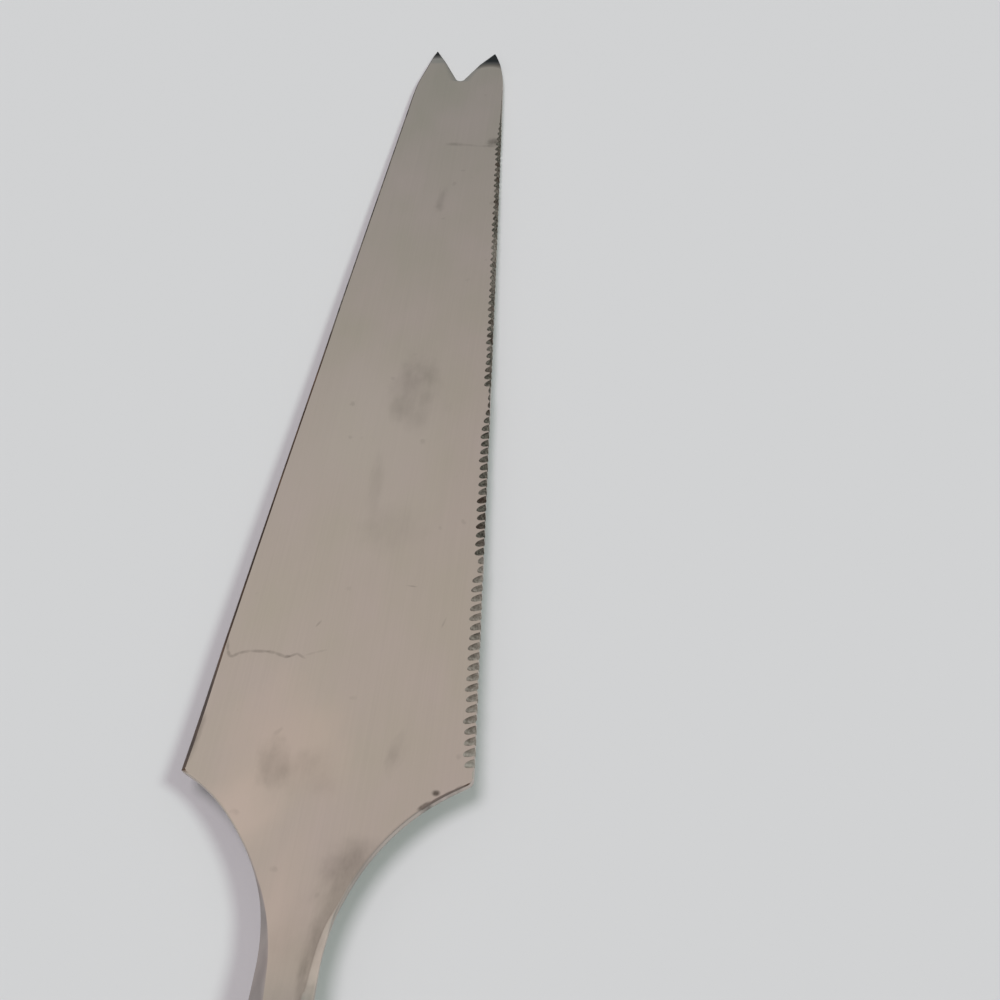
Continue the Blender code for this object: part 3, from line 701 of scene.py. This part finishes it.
def blade_rows():
    """Rows along the forging up to the fork: their places, and each one's gullet depth and climb.

    A gullet's depth along the edge is a round arch, (1 - |t|^p)^(1/p), and its floor climbs evenly inwards.
    """
    taper = math.atan2((HEEL_WIDTH - TIP_WIDTH) / 2, BLADE_LENGTH)
    run = BLADE_LENGTH / math.cos(taper) - PLAIN_HEEL - PLAIN_TIP
    teeth = int(run / TOOTH_PITCH)
    tang = np.array([TANG_END_Y, SHOULDER_Y - 0.02])
    neck = np.linspace(SHOULDER_Y, -HEEL_DEPTH, NECK_ROWS)
    heel = HEEL_DEPTH * (np.sin(np.linspace(0, HEEL_SWEEP, HEEL_ROWS)) / math.sin(HEEL_SWEEP) - 1)
    corner = np.linspace(CORNER_START, PLAIN_HEEL - 0.05, CORNER_ROWS)
    front = np.unique(np.concatenate([tang, neck, heel[heel < corner[0]], corner]))
    tooth = np.arange(teeth)[:, None]
    middle = PLAIN_HEEL + (tooth + 0.5) * TOOTH_PITCH
    land = np.interp(middle, LAND_WIDTH_AT, LAND_WIDTH)
    toothed = (middle + GULLET_STEPS * (TOOTH_PITCH - land) / 2) * math.cos(taper)
    reach = np.interp(middle, GULLET_REACH_AT, GULLET_REACH)
    climb = THICKNESS / (reach - GULLET_BITE)
    wear = np.random.default_rng(GULLET_SEED).uniform(*GULLET_WEAR, (teeth, 1))
    wear[:len(WORN_HEEL_TEETH), 0] = WORN_HEEL_TEETH
    wear[-len(WORN_TIP_TEETH):, 0] = WORN_TIP_TEETH
    for first, last, share in WORN_PLACES:
        wear[(middle > first) & (middle < last)] = share
    power = np.interp(middle, LAND_WIDTH_AT, GULLET_BLUNTNESS)
    full = THICKNESS + climb * GULLET_BITE
    depth = wear * full * (1 - np.abs(GULLET_STEPS) ** power) ** (1 / power)
    root = BLADE_LENGTH - NOTCH_DEPTH
    plain = np.linspace(toothed[-1, -1] + 0.3, root - 0.4, PLAIN_ROWS)
    y = np.concatenate([front, toothed.ravel(), plain])
    cut = np.concatenate([0 * front, depth.ravel(), 0 * plain])
    rate = np.concatenate([0 * front + 1, np.broadcast_to(climb, toothed.shape).ravel(), 0 * plain + 1])
    return y, cut, rate


def notch_rows():
    """Half of the fork's outline with its normals: a round root, then a straight flank to a tine point."""
    mouth = plate_half(BLADE_LENGTH) - TINE_POINT_WIDTH
    centre = BLADE_LENGTH - NOTCH_DEPTH + NOTCH_ROOT_RADIUS
    rise = BLADE_LENGTH - centre
    touch = math.atan2(rise, mouth) - math.acos(NOTCH_ROOT_RADIUS / math.hypot(mouth, rise))
    angle = np.linspace(-math.pi / 2, touch, ROOT_ROWS)
    arc_x = NOTCH_ROOT_RADIUS * np.cos(angle)
    arc_y = centre + NOTCH_ROOT_RADIUS * np.sin(angle)
    arc = np.stack([arc_x, arc_y], -1)
    crease = (BLADE_LENGTH - TINE_GRIND_LENGTH - arc[-1, 1]) / (BLADE_LENGTH - arc[-1, 1])
    share = np.concatenate([np.linspace(0, 1, FLANK_ROWS)[1:], crease + np.array([-0.01, 0.01])])
    flank = arc[-1] + (np.array([mouth, BLADE_LENGTH]) - arc[-1]) * np.unique(share)[:, None]
    normal = np.stack([np.cos(angle), np.sin(angle)], -1)
    normals = np.concatenate([normal, np.repeat(normal[-1:], len(flank), 0)])
    return np.concatenate([arc, flank]), normals


def notch_wall(outline, normal, inset, thick, side):
    """Grid of the fork's wall: rows follow the outline, columns go over the upper rim, down and under."""
    set_in = inset * np.concatenate([ROUND_STEPS[::-1], ROUND_STEPS])
    wall = outline[:, None] + set_in[..., None] * normal[:, None]
    rim = len(ROUND_STEPS)
    upper = thick[:, None] - grind(wall[:, :rim, 1]) - inset * ROUND_STEPS
    lower = -thick[:, None] + inset * ROUND_STEPS[::-1]
    along = wall[..., 1] - lead_slope() * side * wall[..., 0]
    return np.stack([side * wall[..., 0], along, np.concatenate([upper, lower], 1)], -1)


def slant_share(y, cut):
    """How much of the gullets' slant each row has: all along the gullets, fading before and after them."""
    toothed = y[cut > 0]
    if not len(toothed):
        return np.zeros_like(y)
    first, last = toothed[0], toothed[-1]
    return np.interp(y, [first - GULLET_SLANT_FADE, first, last, last + GULLET_SLANT_FADE], [0, 1, 1, 0])


def blade_half(side):
    """One half of the forging, right or left of its middle, its notch wall and its rows' gullet depths.

    Rows run along the knife, and each row's columns go from the middle over the upper side, over the edge's
    rounding or the gullet's floor, down the wall and back along the lower side. Past the fork's root the
    rows start on the notch instead, whose own wall is a second grid.
    """
    y, cut, rate = blade_rows()
    outline, normal = notch_rows()
    whole = len(y)
    y = np.concatenate([y, outline[:, 1]])
    cut = np.concatenate([cut, 0 * outline[:, 1]]) * (side == RIGHT)
    rate = np.concatenate([rate, 0 * outline[:, 1] + 1])
    half = half_width(y, side)
    width = half - np.concatenate([np.zeros(whole), outline[:, 0]])
    thick = half_thickness(y)
    stretch = outline_stretch(y, half)
    run, drop, roundness = upper_break(y, width, stretch, side)
    low_run, low_drop = corner_cut(y, LOWER_BREAK, RIGHT)
    low_run = np.minimum(low_run * stretch, LARGEST_SHARE * width)
    edge_in = np.maximum(run, cut / rate)
    edge_out = np.maximum(0, (cut - THICKNESS) / rate)
    strip = np.maximum(run + STRIP_LEAST * (width - run), np.minimum(GULLET_STRIP, LARGEST_SHARE * width))
    strip = np.maximum(strip, edge_in + STRIP_CLEARANCE * (strip - run))

    # Upper side, from the middle or the notch to the strip along the edge
    inset = np.minimum(NOTCH_BREAK, LARGEST_SHARE * width[whole:])[:, None]
    inner = np.stack([np.zeros(whole), y[:whole]], -1)
    inner = np.concatenate([inner, outline + inset * normal])
    top_across = inner[:, :1] + (half[:, None] - strip[:, None] - inner[:, :1]) * UPPER_STEPS
    top_along = inner[:, 1:] + (y[:, None] - inner[:, 1:]) * UPPER_STEPS
    top_height = thick[:, None] - grind(top_along)

    # Strip and edge: distances in from the outline, and heights over the rounding or down the gullet
    slanted = slant_share(y, cut)
    slant_end = GULLET_STRIP - GULLET_SLANT_END
    hold = np.minimum(EDGE_HOLD, (strip - edge_in) / 3)
    turn = np.sin(np.linspace(0, math.pi / 2, EDGE_STEPS))
    inwards = np.column_stack([np.where(slanted > 0, slant_end, (strip + edge_in) / 2), edge_in + hold])
    inwards = np.concatenate([inwards, edge_in[:, None] + (edge_out - edge_in)[:, None] * turn], 1)
    left = np.clip(1 - inwards / run[:, None], 0, 1)
    rounding = (1 - np.sqrt(1 - left**2)) * roundness[:, None] + left * (1 - roundness)[:, None]
    sunk = np.maximum(cut[:, None] - rate[:, None] * inwards, drop[:, None] * rounding)
    floor = -thick[:, None]
    edge_height = np.maximum(thick[:, None] - grind(y)[:, None] - sunk, floor + LEAST_WALL)

    # Lower break, and the gullets' slant on all of the edge
    low_in = edge_out[:, None] + low_run[:, None] * ROUND_STEPS
    low_drop = np.minimum(low_drop, edge_height[:, -1] - floor[:, 0])
    low_height = floor + low_drop[:, None] * ROUND_STEPS[::-1]
    inwards = np.concatenate([inwards, low_in], 1)
    lean = GULLET_SLANT * np.interp(inwards, [0, slant_end, GULLET_STRIP], [0, slant_end, 0])
    edge_along = y[:, None] - slanted[:, None] * lean

    # The whole row, with the lower side under the upper one, and the slope that sets one tine ahead
    back = slice(-2, None, -1)
    across = np.concatenate([top_across, half[:, None] - inwards, top_across[:, back]], 1)
    along = np.concatenate([top_along, edge_along, top_along[:, back]], 1)
    flat = np.broadcast_to(floor, top_across[:, back].shape)
    height = np.concatenate([top_height, edge_height, low_height, flat], 1)
    ahead = np.broadcast_to(tine_share(y)[:, None], across.shape).copy()
    inner_share = np.concatenate([1 - UPPER_STEPS, np.zeros(inwards.shape[1]), 1 - UPPER_STEPS[back]])
    ahead[whole:] += (1 - ahead[whole:]) * inner_share
    points = np.stack([side * across, along - lead_slope() * side * across * ahead, height], -1)
    return points, notch_wall(outline, normal, inset, thick[whole:], side), cut


def make_blade(steel, gullet, edge):
    """The whole forging: both halves welded along the middle, notch walls, and caps at points and tang."""
    points, faces, finish, tang_ends = [], [], [], []
    count = 0
    first_rim = len(UPPER_STEPS) + 2
    rim = slice(first_rim, first_rim + EDGE_STEPS - 1)
    for side in (RIGHT, LEFT):
        half, notch, cut = blade_half(side)
        rows, columns = half.shape[:2]
        quads = grid_faces(rows, columns)
        kind = np.full(quads.shape[:2], STEEL)
        start, end = half[:-1, 0, 1], half[1:, 0, 1]
        if side == RIGHT:
            bevelled = (start > EDGE_BEVEL_AT[0]) & (start < EDGE_BEVEL_AT[-1])
            kind[(np.maximum(cut[:-1], cut[1:]) > 0) | bevelled, rim] = GULLET
            # at the right heel corner the edge finish is painted shade with some rust
            edge_finished = (start > SHADE_AND_RUST_CORNER[0]) & (end < SHADE_AND_RUST_CORNER[1])
        else:
            # on the left it is a painted dark reflection along the spine and painted shade on the neck's
            # facet
            edge_finished = start > SHOULDER_Y
        kind[edge_finished, rim] = EDGE
        faces += (quads.reshape(-1, 4) + count).tolist()
        finish += kind.ravel().tolist()
        tang_ends.append(count + np.arange(columns))
        point_row = count + (rows - 1) * columns + np.arange(columns)
        points.append(half.reshape(-1, 3))
        count += rows * columns
        wall_rows, wall_columns = notch.shape[:2]
        faces += (grid_faces(wall_rows, wall_columns).reshape(-1, 4) + count).tolist()
        wall_kind = np.where(np.arange(wall_columns - 1) < len(ROUND_STEPS) - 1, EDGE, STEEL)
        finish += np.tile(wall_kind, wall_rows - 1).tolist()
        wall_row = count + (wall_rows - 1) * wall_columns + np.arange(wall_columns)
        faces.append([*point_row.tolist(), *wall_row[-2:0:-1].tolist()])
        finish.append(STEEL)
        points.append(notch.reshape(-1, 3))
        count += wall_rows * wall_columns
    faces.append([*tang_ends[0].tolist(), *tang_ends[1][-2:0:-1].tolist()])
    finish.append(STEEL)
    return new_piece("blade_forging", np.concatenate(points), faces, [steel, gullet, edge],
                     ("blade",), finish, BLADE_SHARP_ANGLE)


def oval_rings(profile, sides):
    """Grid of ovals round the knife's axis, one for each row of place, half-width and half-height."""
    angle = np.arange(sides) * 2 * math.pi / sides
    y, half_x, half_z = (profile[:, i, None] for i in range(3))
    return np.stack(np.broadcast_arrays(half_x * np.cos(angle), y, half_z * np.sin(angle)), -1)


def band(y, half):
    """Rows of a profile: places, each with the same half-width and half-height, or the same radius."""
    y = np.atleast_1d(np.asarray(y, float))
    return np.column_stack([y, np.broadcast_to(np.asarray(half, float), (len(y), 2))])


def rounded(y, half, radius, ahead, steps=5):
    """Rows of a quarter-round rim that shrinks towards its end face, which lies ahead, 1, or behind, -1."""
    turn = np.linspace(0, math.pi / 2, steps)
    place = y - ahead * radius * (1 - np.sin(turn))
    return np.column_stack([place, half - radius * (1 - np.cos(turn))[:, None]])


def make_sleeve(name, profile, finish, replaced, sides=128):
    """A hollow turned piece: its profile runs round the outside and back through the bore."""
    points = oval_rings(np.concatenate(profile), sides)
    quads = grid_faces(*points.shape[:2], round_rows=True, round_columns=True)
    return new_piece(name, points.reshape(-1, 3), quads.reshape(-1, 4).tolist(), [finish], replaced)


def make_collar(finish):
    """Collar: a domed nose against the neck's shoulder, a turned groove, and a skirt over the spigot."""
    front = SHOULDER_Y - SEAM
    dome_front = front - NOSE_ROUNDING
    turn = np.linspace(0, math.pi / 2, 24)
    dome = np.column_stack([
        dome_front - (dome_front - COLLAR_FLOOR_Y) * (1 - np.cos(turn)),
        NOSE_HALF + (COLLAR_HALF - NOSE_HALF) * np.sin(turn)[:, None],
    ])
    dip = np.linspace(-1, 1, 9)
    groove = np.column_stack([
        COLLAR_GROOVE_Y - COLLAR_GROOVE_HALF_WIDTH * dip,
        COLLAR_HALF - COLLAR_GROOVE_DEPTH * np.sqrt(1 - dip**2)[:, None],
    ])
    profile = [
        band(front, COLLAR_BORE_HALF),
        rounded(front, NOSE_HALF, NOSE_ROUNDING, 1)[::-1],
        dome[1:],
        groove,
        rounded(COLLAR_REAR_Y, COLLAR_HALF, RIM_ROUNDING, -1),
        band([COLLAR_REAR_Y, COLLAR_FLOOR_Y], SOCKET_HALF),
        band(COLLAR_FLOOR_Y, COLLAR_BORE_HALF),
    ]
    return make_sleeve("collar", profile, finish, ("ferrule",))


def make_spacer(name, front, rear, half, finish, replaced):
    """Flat fibre ring with softened rims."""
    profile = [
        rounded(front, half, SPACER_ROUNDING, 1)[::-1],
        rounded(rear, half, SPACER_ROUNDING, -1),
        band([rear, front], SOCKET_HALF),
    ]
    return make_sleeve(name, profile, finish, (replaced,))


def make_grip(finish):
    """Oval grip: a cubic swell from the collar to the belly, and another that draws in to the butt."""
    front = FRONT_SPACER_REAR_Y - SEAM
    spigot_front = COLLAR_FLOOR_Y - SPIGOT_GAP
    spigot_rear = CAP_FLOOR_Y + SPIGOT_GAP
    y = np.linspace(front, GRIP_REAR_Y, 150)
    ahead = np.clip((y - BELLY_Y) / (front - BELLY_Y), 0, 1)[:, None]
    behind = np.clip((BELLY_Y - y) / (BELLY_Y - GRIP_REAR_Y), 0, 1)[:, None]
    ease_ahead = ahead**2 * (3 - 2 * ahead)
    ease_behind = behind**2 * (3 - 2 * behind)
    half = BELLY_HALF + (COLLAR_HALF - BELLY_HALF) * ease_ahead + (BUTT_HALF - BELLY_HALF) * ease_behind
    body = np.column_stack([y, half])[1:-1]
    profile = [
        band([spigot_front, front], SPIGOT_HALF),
        rounded(front, COLLAR_HALF, GRIP_ROUNDING, 1)[::-1],
        body,
        rounded(GRIP_REAR_Y, BUTT_HALF, GRIP_ROUNDING, -1),
        band([GRIP_REAR_Y, spigot_rear], SPIGOT_HALF),
        band([spigot_rear, spigot_front], BORE_HALF),
    ]
    return make_sleeve("rosewood_grip", profile, finish, ("handle_grip",))


def make_cap(finish):
    """Butt cap: a straight skirt, a round end and a flat-floored recess for the nut."""
    front = REAR_SPACER_REAR_Y - SEAM
    profile = [
        rounded(front, BUTT_HALF, RIM_ROUNDING, 1)[::-1],
        rounded(CAP_REAR_Y, BUTT_HALF, CAP_ROUNDING, -1, 20),
        band(CAP_REAR_Y, RECESS_RADIUS + RECESS_LIP),
        band([CAP_REAR_Y + RECESS_LIP, CAP_SEAT_Y], RECESS_RADIUS),
        band([CAP_SEAT_Y, CAP_FLOOR_Y], THREAD_HOLE_RADIUS),
        band([CAP_FLOOR_Y, front], SOCKET_HALF),
    ]
    return make_sleeve("butt_cap", profile, finish, ("end_cap",))


def make_nut(finish):
    """Round nut with chamfered rims; its screwdriver slot is cut by a box."""
    profile = [
        band(NUT_FRONT_Y, NUT_RADIUS - NUT_CHAMFER),
        band([NUT_FRONT_Y - NUT_CHAMFER, NUT_REAR_Y + NUT_CHAMFER], NUT_RADIUS),
        band(NUT_REAR_Y, NUT_RADIUS - NUT_CHAMFER),
        band([NUT_REAR_Y, NUT_FRONT_Y], THREAD_HOLE_RADIUS - NUT_HOLE_LESS),
    ]
    nut = make_sleeve("slotted_nut", profile, finish, ("tang_nut",), 96)
    cutter = bmesh.new()
    size = Matrix.Diagonal((3 * NUT_RADIUS * MM, 2 * SLOT_DEPTH * MM, SLOT_WIDTH * MM, 1))
    turn = Matrix([[*row, 0] for row in AXES.T.tolist()] + [[0, 0, 0, 1]])
    place = Matrix.Translation(world(np.array([0, NUT_REAR_Y, 0])))
    bmesh.ops.create_cube(cutter, size=1.0, matrix=place @ turn @ size)
    block = bpy.data.meshes.new("slot_block")
    cutter.to_mesh(block)
    cutter.free()
    tool = bpy.data.objects.new("slot_block", block)
    bpy.context.scene.collection.objects.link(tool)
    step = nut.modifiers.new("slot", "BOOLEAN")
    step.operation = "DIFFERENCE"
    step.object = tool
    graph = bpy.context.evaluated_depsgraph_get()
    slotted = bpy.data.meshes.new_from_object(nut.evaluated_get(graph))
    nut.modifiers.clear()
    nut.data = slotted
    slotted.set_sharp_from_angle(angle=math.radians(SHARP_ANGLE))
    bpy.data.objects.remove(tool)
    return nut


def make_thread(finish):
    """Threaded end of the tang: a radius that rises and falls as a helix winds back to the tang's end."""
    sides, rows = 64, 120
    angle = np.arange(sides) * 2 * math.pi / sides
    y = np.linspace(TANG_END_Y + THREAD_OVERLAP, THREAD_END_Y, rows)[:, None]
    wave = np.abs(2 * ((y / THREAD_PITCH + angle / (2 * math.pi)) % 1) - 1)
    fade = np.clip((y - THREAD_END_Y) / THREAD_PITCH, 0, 1)
    radius = THREAD_RADIUS + THREAD_HEIGHT * (wave - 0.5) * fade
    points = np.stack(np.broadcast_arrays(radius * np.cos(angle), y, radius * np.sin(angle)), -1)
    faces = grid_faces(rows, sides, round_columns=True).reshape(-1, 4).tolist()
    faces += [list(range(sides)), list(range((rows - 1) * sides, rows * sides))]
    return new_piece("tang_thread", points.reshape(-1, 3), faces, [finish])


def make_floor(finish):
    """Plain pale surface under the knife."""
    reach = 6.0
    corners = np.array([[-1, -1, 0], [1, -1, 0], [1, 1, 0], [-1, 1, 0]]) * reach
    mesh = bpy.data.meshes.new("table")
    mesh.from_pydata(corners.tolist(), [], [(0, 1, 2, 3)])
    mesh.materials.append(finish)
    floor = bpy.data.objects.new("table", mesh)
    bpy.context.scene.collection.objects.link(floor)


def make_sun(name, azimuth, elevation, strength, spread, colour):
    """Soft light from a compass direction, 0 along +Y, 90 along +X; metal mirrors only the surroundings."""
    lamp = bpy.data.lights.new(name, "SUN")
    lamp.energy = strength
    lamp.angle = math.radians(spread)
    lamp.color = linear(colour)[:3]
    made = bpy.data.objects.new(name, lamp)
    made.rotation_euler = (math.radians(elevation - 90), 0, math.radians(-azimuth))
    made.visible_glossy = False
    bpy.context.scene.collection.objects.link(made)


def make_sky():
    """Studio surroundings: paler with height, brighter on the left, a window, and plain to the camera."""
    sky = bpy.data.worlds.new("studio")
    sky.use_nodes = True
    tree = sky.node_tree
    background = tree.nodes["Background"]
    direction = node(tree, "TexCoord", out=0)
    across = node(tree, "SeparateXYZ", {0: direction}, out=0)
    height = node(tree, "SeparateXYZ", {0: direction}, out=2)
    light = ramp(tree, height, SKY_RISE, interpolation_type="SMOOTHSTEP")
    colour = blend(tree, light, linear("#909a9e"), linear("#dcd7d4"))
    seen = node(tree, "LightPath", out=0)
    mirrored = node(tree, "LightPath", out=3)
    colour = blend(tree, seen, colour, linear("#d2d2d2"))
    tree.links.new(colour, background.inputs["Color"])
    window = node(tree, "VectorMath", {0: direction, 1: WINDOW_DIRECTION}, out=1, operation="DOT_PRODUCT")
    window = ramp(tree, window, WINDOW_RIM, 0.0, WINDOW_GAIN, interpolation_type="SMOOTHSTEP")
    shown = node(tree, "Math", {0: seen, 1: mirrored}, operation="MAXIMUM")
    strength = node(tree, "Math", {0: shown, 1: 1 - SKY_FILL, 2: SKY_FILL}, operation="MULTIPLY_ADD")
    side = node(tree, "Math", {0: across, 1: -SKY_SIDE, 2: 1.0}, operation="MULTIPLY_ADD")
    crown = ramp(tree, height, SKY_CROWN_RISE, 1.0, SKY_CROWN)
    side = times(tree, side, crown)
    side = node(tree, "Math", {0: side, 1: window}, operation="ADD")
    side = node(tree, "Mix", {0: seen, 2: side, 3: 1.0})
    strength = times(tree, strength, side)
    tree.links.new(strength, background.inputs["Strength"])
    bpy.context.scene.world = sky


def make_camera():
    """Camera at the photograph's place, turned to its target and rolled."""
    back = CAMERA_PLACE - CAMERA_TARGET
    back = back / np.linalg.norm(back)
    level = np.cross([0, 0, 1], back)
    level = level / np.linalg.norm(level)
    upright = np.cross(back, level)
    right = math.cos(CAMERA_ROLL) * level + math.sin(CAMERA_ROLL) * upright
    turn = np.column_stack([right, np.cross(back, right), back])
    data = bpy.data.cameras.new("camera")
    data.lens = CAMERA_LENS
    data.clip_start = 0.01
    made = bpy.data.objects.new("camera", data)
    turned = Matrix((AXES.T @ turn).tolist()).to_4x4()
    made.matrix_world = Matrix.Translation(world(CAMERA_PLACE)) @ turned
    bpy.context.scene.collection.objects.link(made)
    bpy.context.scene.camera = made


steel = satin_blade_steel()
collar_steel = polished_collar_steel()
nut_steel = turned_nut_steel()
fibre = vulcanised_fibre()
make_blade(steel, ground_gullet_steel(), painted_shade_edge_steel())
make_thread(nut_steel)
make_collar(collar_steel)
front_ring = (COLLAR_REAR_Y - SEAM, FRONT_SPACER_REAR_Y, COLLAR_HALF)
make_spacer("front_fibre_ring", *front_ring, fibre, "front_spacer")
make_grip(oiled_rosewood())
rear_ring = (GRIP_REAR_Y - SEAM, REAR_SPACER_REAR_Y, BUTT_HALF)
make_spacer("rear_fibre_ring", *rear_ring, fibre, "rear_spacer")
make_cap(collar_steel)
make_nut(nut_steel)
for name, finish in (("tang_bedding", bedding_resin()), ("washer", nut_steel)):
    frame["nodes"][name].data.materials.clear()
    frame["nodes"][name].data.materials.append(finish)
make_floor(pressed_cotton())
for lamp in LAMPS:
    make_sun(*lamp)
make_sky()
make_camera()
bpy.context.scene.view_settings.view_transform = "Standard"
